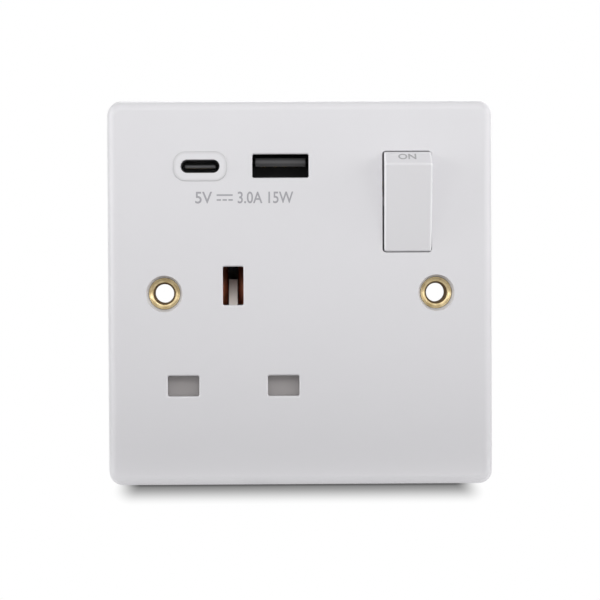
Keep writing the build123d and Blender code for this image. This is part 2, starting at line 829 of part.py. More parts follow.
def usb_c_insert():
    body = slab(insert_outline(-insert_gap), front_y - insert_proud, inner_y)
    body = fillet(body.faces().sort_by(Axis.Y)[0].edges(), insert_edge)
    body += slab(insert_outline(flange_width), inner_y, inner_y + flange_thickness)
    body -= slab(SlotOverall(*insert_mouth), front_y - cut_over, inner_y + flange_thickness)
    return Pos(port_c_x, 0, port_z) * body


def usb_c_shell():
    outside = SlotOverall(*shell_c)
    inside = offset(outside, -shell_wall)
    near = inner_y + flange_thickness + fit_gap
    return Pos(port_c_x, 0, port_z) * slab(outside - inside, near, board_front)


def usb_c_tongue():
    tip_y = inner_y + flange_thickness + tongue_c_drop
    base_y = tip_y + tongue_c_length
    base = slab(offset(SlotOverall(*shell_c), -shell_wall - fit_gap), base_y, board_front)
    return Pos(port_c_x, 0, port_z) * (base + slab(Rectangle(*tongue_c), tip_y, base_y))


def usb_a_shell():
    outside = RectangleRounded(*shell_a, shell_a_corner)
    inside = offset(outside, -shell_wall)
    return Pos(port_a_x, 0, port_z) * slab(outside - inside, inner_y + fit_gap, board_front)


def usb_a_tongue():
    base_y = tongue_a_y + tongue_a_length
    outline = offset(RectangleRounded(*shell_a, shell_a_corner), -shell_wall - fit_gap)
    mid_z = window_a[1] / 2 - tongue_a_rise - tongue_a[1] / 2
    tongue = slab(Pos(0, mid_z) * Rectangle(*tongue_a), tongue_a_y, base_y)
    return Pos(port_a_x, 0, port_z) * (slab(outline, base_y, board_front) + tongue)


def charger_board():
    # Band behind the ports, a neck beside the rocker and a limb that carries the transformer
    sketch = area(board_left, band_right, band_low, board_top)
    sketch += area(limb_left, neck_right, limb_top, band_low + post_inset)
    sketch += area(limb_left, limb_right, limb_low, limb_top)
    return slab(sketch, board_front, board_rear)


def supply_pin(place):
    return slab(disc(*place, supply_pin_radius), board_rear, strip_y)


def transformer_core():
    width, depth, height = core_size
    ring = Rectangle(width, height)
    window_width = (width - 2 * core_leg - core_centre) / 2
    for side in (-1, 1):
        window_x = side * (core_centre + window_width) / 2
        ring -= Pos(window_x, 0) * Rectangle(window_width, height - 2 * core_yoke)
    return slab(Pos(*transformer_place) * ring, core_front, core_front + depth)


def transformer_winding():
    width, depth, height = winding_size
    core_mid = core_front + core_size[1] / 2
    coil_body = Pos(0, core_mid, 0) * Box(width, depth, height)
    coil_body = fillet(coil_body.edges().filter_by(Axis.Z), winding_corner)
    hole_x = core_centre / 2 + seam_gap
    hole_y = core_size[1] / 2 + seam_gap
    coil_body -= block(-hole_x, hole_x, core_mid - hole_y, core_mid + hole_y, -height, height)
    base = block(-core_size[0] / 2, core_size[0] / 2, core_mid + depth / 2 - bobbin_overlap, board_front,
                 -core_size[2] / 2, core_size[2] / 2)
    return Pos(transformer_place[0], 0, transformer_place[1]) * (coil_body + base)


def capacitor(place, size):
    radius, height = size
    front = board_front - height
    can = slab(disc(*place, radius), front, board_front)
    return chamfer(can.faces().sort_by(Axis.Y)[0].edges(), can_edge)


def rear_chip(place, size):
    # Chip on the rear of the board
    x, z = place
    width, depth, height = size
    return slab(Pos(x, z) * Rectangle(width, height), board_rear, board_rear + depth)


def all_nodes():
    return {
        "front_plate": front_plate(),
        "fixing_eyelet_left": fixing_eyelet(-1),
        "fixing_eyelet_right": fixing_eyelet(1),
        "rocker": rocker(),
        "switch_plunger": switch_plunger(),
        "plunger_spring": plunger_spring(),
        "moving_contact": moving_contact(),
        "moving_contact_tip": moving_contact_tip(),
        "fixed_contact_tip": fixed_contact_tip(),
        "shutter": shutter(),
        "shutter_spring": shutter_spring(),
        "earth_contact": earth_contact(),
        "earth_strap": earth_strap(),
        "live_contact": line_contact(live_x),
        "neutral_contact": line_contact(neutral_x),
        "earth_terminal": terminal_block(socket_x),
        "live_terminal": terminal_block(live_terminal_x),
        "neutral_terminal": terminal_block(neutral_terminal_x),
        "earth_terminal_screw": terminal_screw(socket_x),
        "live_terminal_screw": terminal_screw(live_terminal_x),
        "neutral_terminal_screw": terminal_screw(neutral_terminal_x),
        "neutral_strip": neutral_strip(),
        "live_feed_strip": live_feed_strip(),
        "live_load_strip": live_load_strip(),
        "rear_housing": rear_housing(),
        "housing_screws": housing_screws(),
        "usb_c_insert": usb_c_insert(),
        "usb_c_shell": usb_c_shell(),
        "usb_c_tongue": usb_c_tongue(),
        "usb_a_shell": usb_a_shell(),
        "usb_a_tongue": usb_a_tongue(),
        "charger_board": charger_board(),
        "live_supply_pin": supply_pin(live_pin_place),
        "neutral_supply_pin": supply_pin(neutral_pin_place),
        "transformer_core": transformer_core(),
        "transformer_winding": transformer_winding(),
        "input_capacitor": capacitor(input_can_place, input_can_size),
        "output_capacitor": capacitor(output_can_place, output_can_size),
        "rectifier": rear_chip(rectifier_place, rectifier_size),
        "controller_chip": rear_chip(controller_place, controller_size),
    }


if __name__ == "__main__":
    os.makedirs("parts", exist_ok=True)
    for name, shape in all_nodes().items():
        export_step(shape, f"parts/{name}.step")
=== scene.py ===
import bpy
import json
import math
import numpy as np
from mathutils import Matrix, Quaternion, Vector


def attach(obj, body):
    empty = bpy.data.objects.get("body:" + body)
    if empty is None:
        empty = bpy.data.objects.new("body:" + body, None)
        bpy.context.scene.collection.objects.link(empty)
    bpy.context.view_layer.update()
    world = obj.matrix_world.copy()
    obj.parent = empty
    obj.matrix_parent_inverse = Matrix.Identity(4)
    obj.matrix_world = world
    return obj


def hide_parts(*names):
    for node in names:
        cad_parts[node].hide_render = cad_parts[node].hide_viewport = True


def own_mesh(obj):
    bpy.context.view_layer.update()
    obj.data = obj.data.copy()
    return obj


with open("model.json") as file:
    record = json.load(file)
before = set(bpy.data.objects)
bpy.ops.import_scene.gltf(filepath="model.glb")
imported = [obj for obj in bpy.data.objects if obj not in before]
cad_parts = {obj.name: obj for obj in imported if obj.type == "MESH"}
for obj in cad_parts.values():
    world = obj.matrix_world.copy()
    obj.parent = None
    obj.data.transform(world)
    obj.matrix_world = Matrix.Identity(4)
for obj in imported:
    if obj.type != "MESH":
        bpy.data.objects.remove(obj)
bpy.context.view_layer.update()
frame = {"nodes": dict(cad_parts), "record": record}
nodes = frame["nodes"]
scene = bpy.context.scene
mm = 0.001
fullTurn = 2 * math.pi
alongX, alongZ = (1, 0, 0), (0, 0, 1)
print("frame loaded:", len(nodes), "CAD nodes")


def gridRows(*columns):
    # one row for each point of the grid that the columns span together
    return np.stack(np.broadcast_arrays(*columns), axis=-1).reshape(-1, len(columns))


def gridFaces(rows, cols, closeRows, closeCols):
    # quads between neighbours of a rows x cols grid, wrapping round where it closes
    i = np.arange(rows if closeRows else rows - 1)[:, None]
    j = np.arange(cols if closeCols else cols - 1)[None, :]
    iNext, jNext = (i + 1) % rows, (j + 1) % cols
    return gridRows(i * cols + j, iNext * cols + j, iNext * cols + jNext, i * cols + jNext)


def repeatFaces(faces, count):
    # the faces of one shape again for each of count shapes, whose points follow each other
    stride = faces.max() + 1
    return (faces[None] + stride * np.arange(count)[:, None, None]).reshape(-1, 4)


def facesOut(points, faces):
    # signed volume of the fan from the middle; below zero means inside out
    centred = points - points.mean(0)
    a, b, c, d = (centred[faces[:, k]] for k in range(4))
    volume = np.einsum("ij,ij->", a, np.cross(b, c)) + np.einsum("ij,ij->", a, np.cross(c, d))
    return faces if volume > 0 else faces[:, ::-1]


def placePiece(name, mesh, look, body):
    mesh.materials.clear()
    mesh.materials.append(look)
    mesh.update()
    piece = bpy.data.objects.new(name, mesh)
    scene.collection.objects.link(piece)
    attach(piece, body)
    return piece


def newPiece(name, points, faces, look, body, uv=None, smooth=True):
    mesh = bpy.data.meshes.new(name)
    mesh.from_pydata(points.tolist(), [], facesOut(points, faces).tolist())
    mesh.polygons.foreach_set("use_smooth", np.full(len(mesh.polygons), smooth))
    if uv is not None:
        corner = np.zeros(len(mesh.loops), np.int32)
        mesh.loops.foreach_get("vertex_index", corner)
        layer = mesh.uv_layers.new(name="along")
        layer.data.foreach_set("uv", uv[corner].astype(np.float32).ravel())
    return placePiece(name, mesh, look, body)


# Nodes: every input takes a plain value or another node's output
def feed(tree, socket, given):
    if isinstance(given, bpy.types.NodeSocket):
        tree.links.new(given, socket)
    else:
        socket.default_value = given


def addNoise(tree, vector, scale, detail):
    noise = tree.nodes.new("ShaderNodeTexNoise")
    for label, given in (("Vector", vector), ("Scale", scale), ("Detail", detail)):
        feed(tree, noise.inputs[label], given)
    return noise.outputs["Fac"]


def addMath(tree, kind, *numbers):
    node = tree.nodes.new("ShaderNodeMath")
    node.operation = kind
    for socket, given in zip(node.inputs, numbers):
        feed(tree, socket, given)
    return node.outputs[0]


def addVector(tree, kind, first, second=(0, 0, 0)):
    node = tree.nodes.new("ShaderNodeVectorMath")
    node.operation = kind
    feed(tree, node.inputs[0], first)
    feed(tree, node.inputs[1], second)
    return node.outputs["Value" if kind in ("LENGTH", "DOT_PRODUCT") else "Vector"]


def addRange(tree, value, fromMin, fromMax, toMin, toMax, shape="LINEAR"):
    node = tree.nodes.new("ShaderNodeMapRange")
    node.interpolation_type = shape
    for socket, given in zip(node.inputs, (value, fromMin, fromMax, toMin, toMax)):
        feed(tree, socket, given)
    return node.outputs[0]


def addMix(tree, kind, factor, first, second):
    node = tree.nodes.new("ShaderNodeMix")
    node.data_type = "RGBA"
    node.blend_type = kind
    node.clamp_factor = True
    for k, given in ((0, factor), (6, first), (7, second)):  # 6 and 7 are its colour sockets
        feed(tree, node.inputs[k], given)
    return node.outputs[2]


def mixShaders(tree, share, first, second):
    node = tree.nodes.new("ShaderNodeMixShader")
    for socket, given in zip(node.inputs, (share, first, second)):
        feed(tree, socket, given)
    return node.outputs[0]


def addEffect(tree, group, values):
    node = tree.nodes.new("ShaderNodeGroup")
    node.node_tree = group
    for label, given in values.items():
        feed(tree, node.inputs[label], given)
    return node.outputs


# Effects shared by several materials
def newGroup(name, inputs, outputs):
    group = bpy.data.node_groups.new(name, "ShaderNodeTree")
    for label, kind in inputs.items():
        group.interface.new_socket(label, in_out="INPUT", socket_type="NodeSocket" + kind)
    for label, kind in outputs.items():
        group.interface.new_socket(label, in_out="OUTPUT", socket_type="NodeSocket" + kind)
    given = group.nodes.new("NodeGroupInput").outputs
    out = group.nodes.new("NodeGroupOutput").inputs
    place = group.nodes.new("ShaderNodeTexCoord").outputs["Object"]
    return group, given, out, place


finishOutputs = {"Color": "Color", "Roughness": "Float", "Height": "Float"}
noiseMiddle = 0.5  # noise swings about this value
mould = {"driftScale": 42.0, "driftDetail": 3.0, "patchScale": 260.0, "patchDetail": 4.0,
         "grainDetail": 2.0}
rolling = {"lineScale": 900.0, "lineDetail": 3.0, "blotchScale": 320.0, "blotchDetail": 5.0,
           "stainFrom": 0.42, "stainTo": 0.72, "lineRough": 0.14, "stainRough": 0.25}


def mouldedSkinGroup():
    # plastic from a mould: slow drift of tone, fine texture and patches of polish
    inputs = {"Color": "Color", "Drift": "Float", "Grain": "Float", "Polish": "Float", "Patches": "Float"}
    group, given, out, place = newGroup("mouldedSkin", inputs, finishOutputs)
    drift = addNoise(group, place, mould["driftScale"], mould["driftDetail"])
    drift = addMath(group, "SUBTRACT", drift, noiseMiddle)
    tone = addMath(group, "MULTIPLY_ADD", drift, given["Drift"], 1.0)
    grey = group.nodes.new("ShaderNodeCombineColor")
    for socket in grey.inputs:
        feed(group, socket, tone)
    feed(group, out["Color"], addMix(group, "MULTIPLY", 1.0, given["Color"], grey.outputs[0]))
    patch = addNoise(group, place, mould["patchScale"], mould["patchDetail"])
    patch = addMath(group, "SUBTRACT", patch, noiseMiddle)
    feed(group, out["Roughness"], addMath(group, "MULTIPLY_ADD", patch, given["Patches"], given["Polish"]))
    feed(group, out["Height"], addNoise(group, place, given["Grain"], mould["grainDetail"]))
    return group


def metalFinishGroup():
    # sheet metal: rolling lines along one direction, blotches of tarnish and rubbed roughness
    inputs = {"Color": "Color", "Tarnish": "Color", "Amount": "Float", "Polish": "Float",
              "Stretch": "Vector"}
    group, given, out, place = newGroup("metalFinish", inputs, finishOutputs)
    drawn = addVector(group, "MULTIPLY", place, given["Stretch"])
    lines = addNoise(group, drawn, rolling["lineScale"], rolling["lineDetail"])
    blotch = addNoise(group, drawn, rolling["blotchScale"], rolling["blotchDetail"])
    stain = addRange(group, blotch, rolling["stainFrom"], rolling["stainTo"], 0, 1)
    share = addMath(group, "MULTIPLY", stain, given["Amount"])
    feed(group, out["Color"], addMix(group, "MIX", share, given["Color"], given["Tarnish"]))
    rough = addMath(group, "MULTIPLY_ADD", lines, rolling["lineRough"], given["Polish"])
    feed(group, out["Roughness"], addMath(group, "MULTIPLY_ADD", share, rolling["stainRough"], rough))
    feed(group, out["Height"], lines)
    return group


def toneBandGroup():
    # painted light and shade: one tone at a level, another away from it: share = smoothstep of |p . axis -
    # level| from near to far
    inputs = {"Color": "Color", "Away": "Color", "Axis": "Vector", "Level": "Float", "Near": "Float",
              "Far": "Float"}
    group, given, out, place = newGroup("toneBand", inputs, {"Color": "Color"})
    along = addVector(group, "DOT_PRODUCT", place, given["Axis"])
    away = addMath(group, "ABSOLUTE", addMath(group, "SUBTRACT", along, given["Level"]))
    share = addRange(group, away, given["Near"], given["Far"], 0, 1, "SMOOTHSTEP")
    feed(group, out["Color"], addMix(group, "MIX", share, given["Color"], given["Away"]))
    return group


mouldedSkin = mouldedSkinGroup()
metalFinish = metalFinishGroup()
toneBand = toneBandGroup()


def newLook(name, group, values, band, metallic, bump, specular=0.5):
    look = bpy.data.materials.new(name)
    look.use_nodes = True
    tree = look.node_tree
    if band:  # the colour then fades to another away from one level, in millimetres
        values["Color"] = addEffect(tree, toneBand, {
            "Color": values["Color"], "Away": (*band["away"], 1), "Axis": band.get("axis", alongZ),
            "Level": band["level"] * mm, "Near": band["near"] * mm, "Far": band["far"] * mm})["Color"]
    finish = addEffect(tree, group, values)
    raised = tree.nodes.new("ShaderNodeBump")
    raised.inputs["Strength"].default_value, raised.inputs["Distance"].default_value = bump
    feed(tree, raised.inputs["Height"], finish["Height"])
    shader = tree.nodes["Principled BSDF"]
    feed(tree, shader.inputs["Base Color"], finish["Color"])
    feed(tree, shader.inputs["Roughness"], finish["Roughness"])
    feed(tree, shader.inputs["Normal"], raised.outputs["Normal"])
    shader.inputs["Metallic"].default_value = metallic
    shader.inputs["Specular IOR Level"].default_value = specular
    return look


def plasticLook(name, color, polish, grain=2200.0, drift=0.03, patches=0.1, bump=(0.15, 0.00002),
                specular=0.5, band=None):
    values = {"Color": (*color, 1), "Drift": drift, "Grain": grain, "Polish": polish, "Patches": patches}
    return newLook(name, mouldedSkin, values, band, 0.0, bump, specular)


def metalLook(name, color, tarnish, amount, polish, stretch=(1, 1, 3), bump=(0.1, 0.00001), metallic=1.0,
              band=None):
    values = {"Color": (*color, 1), "Tarnish": (*tarnish, 1), "Amount": amount, "Polish": polish,
              "Stretch": stretch}
    return newLook(name, metalFinish, values, band, metallic, bump)


def addRimShade(look, rim):
    # painted shade: darkens a rounded rectangle towards its edge, a shadow ring round it:
    # share = smoothstep of |max(|p - middle| - size/2 + corner, 0)| from corner - width to corner
    tree = look.node_tree
    base = tree.nodes["Principled BSDF"].inputs["Base Color"]
    place = tree.nodes.new("ShaderNodeTexCoord").outputs["Object"]
    away = addVector(tree, "SUBTRACT", place, tuple(v * mm for v in rim["middle"]))
    flatX, flatZ = ((v / 2 - rim["corner"]) * mm for v in rim["size"])
    away = addVector(tree, "ABSOLUTE", away)
    away = addVector(tree, "SUBTRACT", away, (flatX, 1, flatZ))  # 1 m leaves depth out
    away = addVector(tree, "LENGTH", addVector(tree, "MAXIMUM", away))
    inner = (rim["corner"] - rim["width"]) * mm
    share = addRange(tree, away, inner, rim["corner"] * mm, 0, 1, "SMOOTHSTEP")
    feed(tree, base, addMix(tree, "MIX", share, base.links[0].from_socket, (*rim["color"], 1)))


def addThroatShade(look, throat):
    # painted shade: covers the part of a piece whose first UV is 1, such as a bore, with a dark colour,
    # and makes it less metallic and rougher
    tree = look.node_tree
    shader = tree.nodes["Principled BSDF"].inputs
    split = tree.nodes.new("ShaderNodeSeparateXYZ")
    feed(tree, split.inputs[0], tree.nodes.new("ShaderNodeUVMap").outputs[0])
    inside = split.outputs["X"]
    clean = shader["Base Color"].links[0].from_socket
    feed(tree, shader["Base Color"], addMix(tree, "MIX", inside, clean, (*throat["color"], 1)))
    feed(tree, shader["Metallic"], addMath(tree, "MULTIPLY_ADD", inside, -throat["lessMetal"], 1.0))
    polish = shader["Roughness"].links[0].from_socket
    dull = addMath(tree, "MULTIPLY", inside, throat["dull"])
    feed(tree, shader["Roughness"], addMath(tree, "MAXIMUM", polish, dull))


# Finishes by the record's slots, then those of single nodes
looks = {
    "white_plastic": plasticLook("whitePlateSkin", (0.715, 0.708, 0.73), 0.36),
    "housing_plastic": plasticLook(
        "housingSkin", (0.62, 0.62, 0.63), 0.48, grain=1500.0, bump=(0.4, 0.00004)),
    # painted light and reflection: paler, warmer tone about level -2.6 mm, at the ramp in the earth slot,
    # fading to the shutter's grey by 8.5 mm away
    "shutter_plastic": plasticLook(
        "shutterSkin", (0.84, 0.77, 0.72), 0.5, grain=1600.0,
        band={"away": (0.37, 0.35, 0.347), "level": -2.6, "near": 0.0, "far": 8.5}),
    "plunger_plastic": plasticLook("plungerSkin", (0.72, 0.71, 0.66), 0.4),
    "brass": metalLook("rolledBrass", (0.74, 0.645, 0.42), (0.42, 0.29, 0.12), 0.35, 0.2),
    # painted highlight and shade: bright copper about level -0.5 mm on the clip's leaves, fading to dark
    # brown 5.6 mm away
    "copper": metalLook(
        "clipCopper", (1.0, 0.42, 0.24), (0.36, 0.12, 0.06), 0.6, 0.32, (4, 4, 0.4), metallic=0.6,
        band={"away": (0.3, 0.095, 0.05), "level": -0.5, "near": 0.6, "far": 5.6}),
    "silver": metalLook("contactSilver", (0.88, 0.87, 0.84), (0.45, 0.42, 0.36), 0.2, 0.18),
    "steel": metalLook("zincSteel", (0.62, 0.62, 0.63), (0.4, 0.39, 0.36), 0.3, 0.25),
    "port_shell": plasticLook("blackShell", (0.028, 0.028, 0.029), 0.45, specular=0.25),
    "board": plasticLook("solderMask", (0.02, 0.14, 0.06), 0.3, grain=700.0, drift=0.2),
    "ferrite": plasticLook("ferriteSkin", (0.06, 0.06, 0.065), 0.6, grain=1400.0, bump=(0.5, 0.00004)),
    "winding_tape": plasticLook("windingTape", (0.72, 0.5, 0.08), 0.3, drift=0.15),
    "can_sleeve": plasticLook("canSleeve", (0.025, 0.03, 0.055), 0.25),
    "chip_resin": plasticLook("chipResin", (0.03, 0.03, 0.03), 0.55, grain=2600.0, bump=(0.5, 0.00003)),
}
glossWhite = (0.725, 0.718, 0.738)
nodeLooks = {
    "usb_c_insert": plasticLook("portInsertSkin", glossWhite, 0.34),
    # painted highlight: the A tongue's upper face is lighter, about level 29.2 mm, and darker below
    "usb_a_tongue": plasticLook(
        "tongueASkin", (0.145, 0.145, 0.149), 0.45, specular=0.1,
        band={"away": (0.06, 0.06, 0.062), "level": 29.2, "near": 0.05, "far": 0.62}),
    # painted highlight: a lighter line along the middle of the C tongue's front edge, darker towards its
    # faces
    "usb_c_tongue": plasticLook(
        "tongueCSkin", (0.24, 0.24, 0.245), 0.45, specular=0.2,
        band={"away": (0.13, 0.13, 0.134), "level": 28.2, "near": 0.0, "far": 0.28}),
    "usb_c_shell": plasticLook("shellCSkin", (0.14, 0.14, 0.145), 0.45, specular=0.25),
    # painted highlight: the rocker lightens towards its side edges, 4.7 to 5.12 mm from its middle
    "rocker": plasticLook(
        "rockerSkin", glossWhite, 0.3,
        band={"away": (0.85, 0.845, 0.865), "level": 23.86, "near": 4.7, "far": 5.12, "axis": alongX}),
}
# painted shade: a soft grey ring inside the edge of the port's insert
addRimShade(nodeLooks["usb_c_insert"], {"color": (0.6, 0.595, 0.61), "middle": (-22.1, 0, 28.2),
                                   "size": (11.86, 6.56), "corner": 2.68, "width": 0.8})
for subpart in frame["record"]["subparts"]:
    node = subpart["node"]
    mesh = nodes[node].data
    mesh.materials.clear()
    mesh.materials.append(nodeLooks.get(node) or looks[subpart["material_slot"]])
print("materials on the CAD nodes:", len(looks) + len(nodeLooks))

# Brass eyelets: a ring section turned about Y, with a rolled lip, a shallow bowl and a stepped throat
eyelet = {"x": 30.15, "lipY": -6.72, "rim": 3.49, "lipRoll": 0.11, "lipFrom": -135, "lipTo": 90,
          "throat": 2.45, "dishDepth": 0.56, "bowl": 1.5,
          "edgeRound": 0.24, "edgeLift": 0.4, "edgeTurn": 45,
          "barrel": 2.9, "lipBack": 0.34, "coneFrom": 0.816, "coneTo": 1.02, "ease": 0.1,
          "clinch": 3.38, "clinchY": -0.8, "clinchEase": 0.06, "endY": -0.3, "edge": 0.12,
          "bore": 2.06, "boreRear": 2.14, "boreY": -4.35,
          "stepY": -4.39, "stepDepth": 0.42, "stepFrom": 0.04, "stepCurve": 0.8,
          "edgeSteps": 6, "dishSteps": 10, "lipSteps": 14, "stepSteps": 5, "segments": 128}
eyeletLook = metalLook("eyeletBrass", (0.55, 0.445, 0.26), (0.33, 0.24, 0.11), 0.8, 0.22, (2.2, 2.2, 2.2))
# painted shade: the eyelets' throat and bore in dark brown
addThroatShade(eyeletLook, {"color": (0.2, 0.135, 0.07), "lessMetal": 0.9, "dull": 0.85})


def eyeletSection(e):
    # closed loop of (radius, depth): rounded throat edge, dish rising as along^bowl, half-round lip,
    # barrel with its clinched end, bore that opens a little to the rear, step rising as rise^curve
    # dull is 1 in the throat and the bore, 0 on the dish; there the colour is painted shade and the
    # surface rougher
    turn = np.radians(np.linspace(0, e["edgeTurn"], e["edgeSteps"]))
    edge = gridRows(e["throat"] + e["edgeRound"] * (1 - np.cos(turn)),
                    e["lipY"] + e["dishDepth"] + e["edgeRound"] * (e["edgeLift"] - np.sin(turn)))
    roll = np.radians(np.linspace(e["lipFrom"], e["lipTo"], e["lipSteps"]))
    lip = gridRows(e["rim"] + e["lipRoll"] * (np.cos(roll) - 1),
                   e["lipY"] + e["lipRoll"] * (np.sin(roll) + 1))
    along = np.linspace(0, 1, e["dishSteps"])[1:-1]
    dish = edge[-1] + (lip[0] - edge[-1]) * gridRows(along, along ** e["bowl"])
    barrel = [(e["rim"] - e["ease"], e["lipY"] + e["lipBack"]),
              (e["barrel"] + e["ease"], e["lipY"] + e["coneFrom"]),
              (e["barrel"], e["lipY"] + e["coneTo"]),
              (e["barrel"], e["clinchY"]),
              (e["clinch"], e["clinchY"]),
              (e["clinch"] - e["clinchEase"], e["clinchY"] + e["edge"])]
    bore = [(e["barrel"] - e["ease"], e["endY"]),
            (e["boreRear"] + e["edge"], e["endY"]),
            (e["boreRear"], e["endY"] - e["edge"]),
            (e["bore"], e["boreY"])]
    rise = np.linspace(e["stepFrom"], 1, e["stepSteps"])
    step = gridRows(e["bore"] + (e["throat"] - e["bore"]) * rise,
                    e["stepY"] - e["stepDepth"] * rise ** e["stepCurve"])
    dull = np.concatenate([np.linspace(1, 0, len(edge)), np.zeros(len(dish) + len(lip) + len(barrel)),
                           np.ones(len(bore) + len(step))])
    return np.concatenate([edge, dish, lip, barrel, bore, step]), dull


section, dull = eyeletSection(eyelet)
radius, depth = section[:, :1], section[:, 1:]
turn = np.linspace(0, fullTurn, eyelet["segments"], endpoint=False)
faces = gridFaces(len(section), len(turn), True, True)
uv = gridRows(dull[:, None], turn / fullTurn)
for side, label in ((-1, "left"), (1, "right")):
    points = gridRows(side * eyelet["x"] + radius * np.cos(turn), depth, radius * np.sin(turn)) * mm
    piece = newPiece(f"eyelet_{label}_fine", points, faces, eyeletLook, "base", uv)
    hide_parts(f"fixing_eyelet_{label}")
print("eyelets turned")

# Springs: round wire carried along a helix whose end turns lie closed
coilSteps = {"turn": 28, "ring": 12}


def springTube(s):
    # angle runs evenly; height rises by one wire over each dead turn and evenly between them
    wire, dead, turns = s["wire"], s["dead"], s["turns"]
    t = np.linspace(0, turns, int(turns * coilSteps["turn"]) + 1)
    flat, top = 2 * wire, s["length"] - 2 * wire
    height = np.interp(t, [0, dead, turns - dead, turns], [0, flat * dead, top - flat * dead, top])
    angle = fullTurn * t
    outward = gridRows(np.cos(angle), np.sin(angle), 0)
    path = s["radius"] * outward + gridRows(0, 0, height + wire)
    along = np.gradient(path, axis=0)
    along /= np.linalg.norm(along, axis=1, keepdims=True)
    across = np.cross(along, outward)
    ring = np.linspace(0, fullTurn, coilSteps["ring"], endpoint=False)[None, :, None]
    tube = path[:, None] + wire * (np.cos(ring) * outward[:, None] + np.sin(ring) * across[:, None])
    tube[[0, -1]] = path[[0, -1], None]  # the ends close to a point
    return tube.reshape(-1, 3), gridFaces(len(t), coilSteps["ring"], False, True)


shutterSpring = {"radius": 1.38, "wire": 0.2, "length": 10.2, "squashed": 4.6, "turns": 8.0, "dead": 1.0,
                 "foot": (-14.9, -4.0, -28.9)}
points, faces = springTube(shutterSpring)
foot = np.array(shutterSpring["foot"])
piece = newPiece("shutter_spring_wire", (points + foot) * mm, faces, looks["steel"], "base")
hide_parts("shutter_spring")
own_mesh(piece)

rockerTilt = math.radians(12.5)
rockerPivot = np.array([23.86, -4.558, 20.2])


def atRocker(points):
    # from the rocker's own frame, square to the plate, to its tilted place: a turn about X, then the pivot
    x, y, z = points.T
    return rockerPivot + gridRows(x, y * math.cos(rockerTilt) - z * math.sin(rockerTilt),
                                  y * math.sin(rockerTilt) + z * math.cos(rockerTilt))


plungerSpring = {"radius": 1.14, "wire": 0.18, "length": 3.8, "squashed": 3.2, "turns": 5.5, "dead": 0.9,
                 "footY": 0.4, "topY": -3.4}
points, faces = springTube(plungerSpring)
points = atRocker(gridRows(points[:, 0], plungerSpring["footY"] - points[:, 2], points[:, 1])) * mm
piece = newPiece("plunger_spring_wire", points, faces, looks["steel"], "rocker")
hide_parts("plunger_spring")
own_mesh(piece)
print("springs wound")

# Contacts of the two ports: strips laid side by side on the tongues
goldLook = metalLook("goldFlash", (0.9, 0.66, 0.26), (0.6, 0.38, 0.12), 0.15, 0.16)
stripSteps = 14


def contactStrips(name, port, pins, side):
    # each strip is a closed slab on the upper or lower side of the tongue:
    # height = face + bow sin(pi t), and thick more at the outer corners
    t = np.linspace(0, 1, stripSteps)[:, None]
    across, up = np.array([[-0.5, 0], [0.5, 0], [0.5, 1], [-0.5, 1]]).T
    height = port["face"] + port["bow"] * np.sin(math.pi * t) + port["thick"] * up
    points = gridRows(port["x"] + np.array(pins)[:, None, None] + port["width"] * across,
                      port["near"] + (port["far"] - port["near"]) * t, port["z"] + side * height) * mm
    lastRow = 4 * (stripSteps - 1)
    ends = np.array([[3, 2, 1, 0], [lastRow, lastRow + 1, lastRow + 2, lastRow + 3]])
    faces = np.concatenate([gridFaces(stripSteps, 4, False, True), ends])
    newPiece(name, points, repeatFaces(faces, len(pins)), goldLook, "base", smooth=False)


portA = {"x": -4.3, "z": 28.2, "pins": (-3.5, -1.0, 1.0, 3.5), "width": 1.0, "near": -0.6, "far": 2.6,
         "face": 0.045, "bow": 0.015, "thick": 0.03}
contactStrips("usb_a_contacts", portA, portA["pins"], -1)
portC = {"x": -22.1, "z": 28.2, "pitch": 0.5, "pins": 12, "width": 0.27, "near": -2.0, "far": 0.9,
         "face": 0.35, "bow": 0.004, "thick": 0.012}
pinRow = (np.arange(portC["pins"]) - (portC["pins"] - 1) / 2) * portC["pitch"]
for side, label in ((1, "top"), (-1, "bottom")):
    contactStrips(f"usb_c_contacts_{label}", portC, pinRow, side)
print("port contacts laid")

# Lettering: text made a mesh, fitted to a box in a plane, then given its place
letterSteps = 6  # along each curve of a letter
printFinish = {"polish": 0.45, "drift": 0.12, "grain": 3000.0}


def letterMesh(body, thick, bold=0.0):
    curve = bpy.data.curves.new(body, "FONT")
    curve.body = body
    curve.resolution_u = letterSteps
    curve.extrude = thick * mm / 2
    curve.offset = bold
    holder = bpy.data.objects.new(body, curve)
    scene.collection.objects.link(holder)
    bpy.context.view_layer.update()
    mesh = bpy.data.meshes.new_from_object(holder.evaluated_get(bpy.context.evaluated_depsgraph_get()))
    bpy.data.objects.remove(holder)
    return mesh


def fitLetters(mesh, box, origin, across, up, lift):
    # box (left, right, low, high) in the letters' own plane, then
    # place = origin + across*u + up*v + normal*(w + lift)
    flat = np.zeros(len(mesh.vertices) * 3, np.float32)
    mesh.vertices.foreach_get("co", flat)
    flat = flat.reshape(-1, 3).astype(float)
    least, most = flat.min(0), flat.max(0)
    share = (flat - least) / (most - least)
    left, right, low, high = box
    u = left + share[:, :1] * (right - left)
    v = low + share[:, 1:2] * (high - low)
    w = flat[:, 2:] - least[2] + lift * mm
    placed = (np.array(origin) + u * across + v * up) * mm + w * np.cross(across, up)
    mesh.vertices.foreach_set("co", placed.astype(np.float32).ravel())
    mesh.update()
    return mesh


def barPiece(name, bars, fromY, toY, look):
    # closed boxes from (x0, x1, z0, z1) rows, between two depths
    rows = np.array(bars, float)
    x = rows[:, [0, 1, 1, 0, 0, 1, 1, 0]]
    z = rows[:, [2, 2, 3, 3, 2, 2, 3, 3]]
    points = gridRows(x, np.array([fromY] * 4 + [toY] * 4), z) * mm
    faces = np.array([[0, 1, 2, 3], [7, 6, 5, 4], [0, 4, 5, 1], [1, 5, 6, 2], [2, 6, 7, 3], [3, 7, 4, 0]])
    newPiece(name, points, repeatFaces(faces, len(rows)), look, "base", smooth=False)


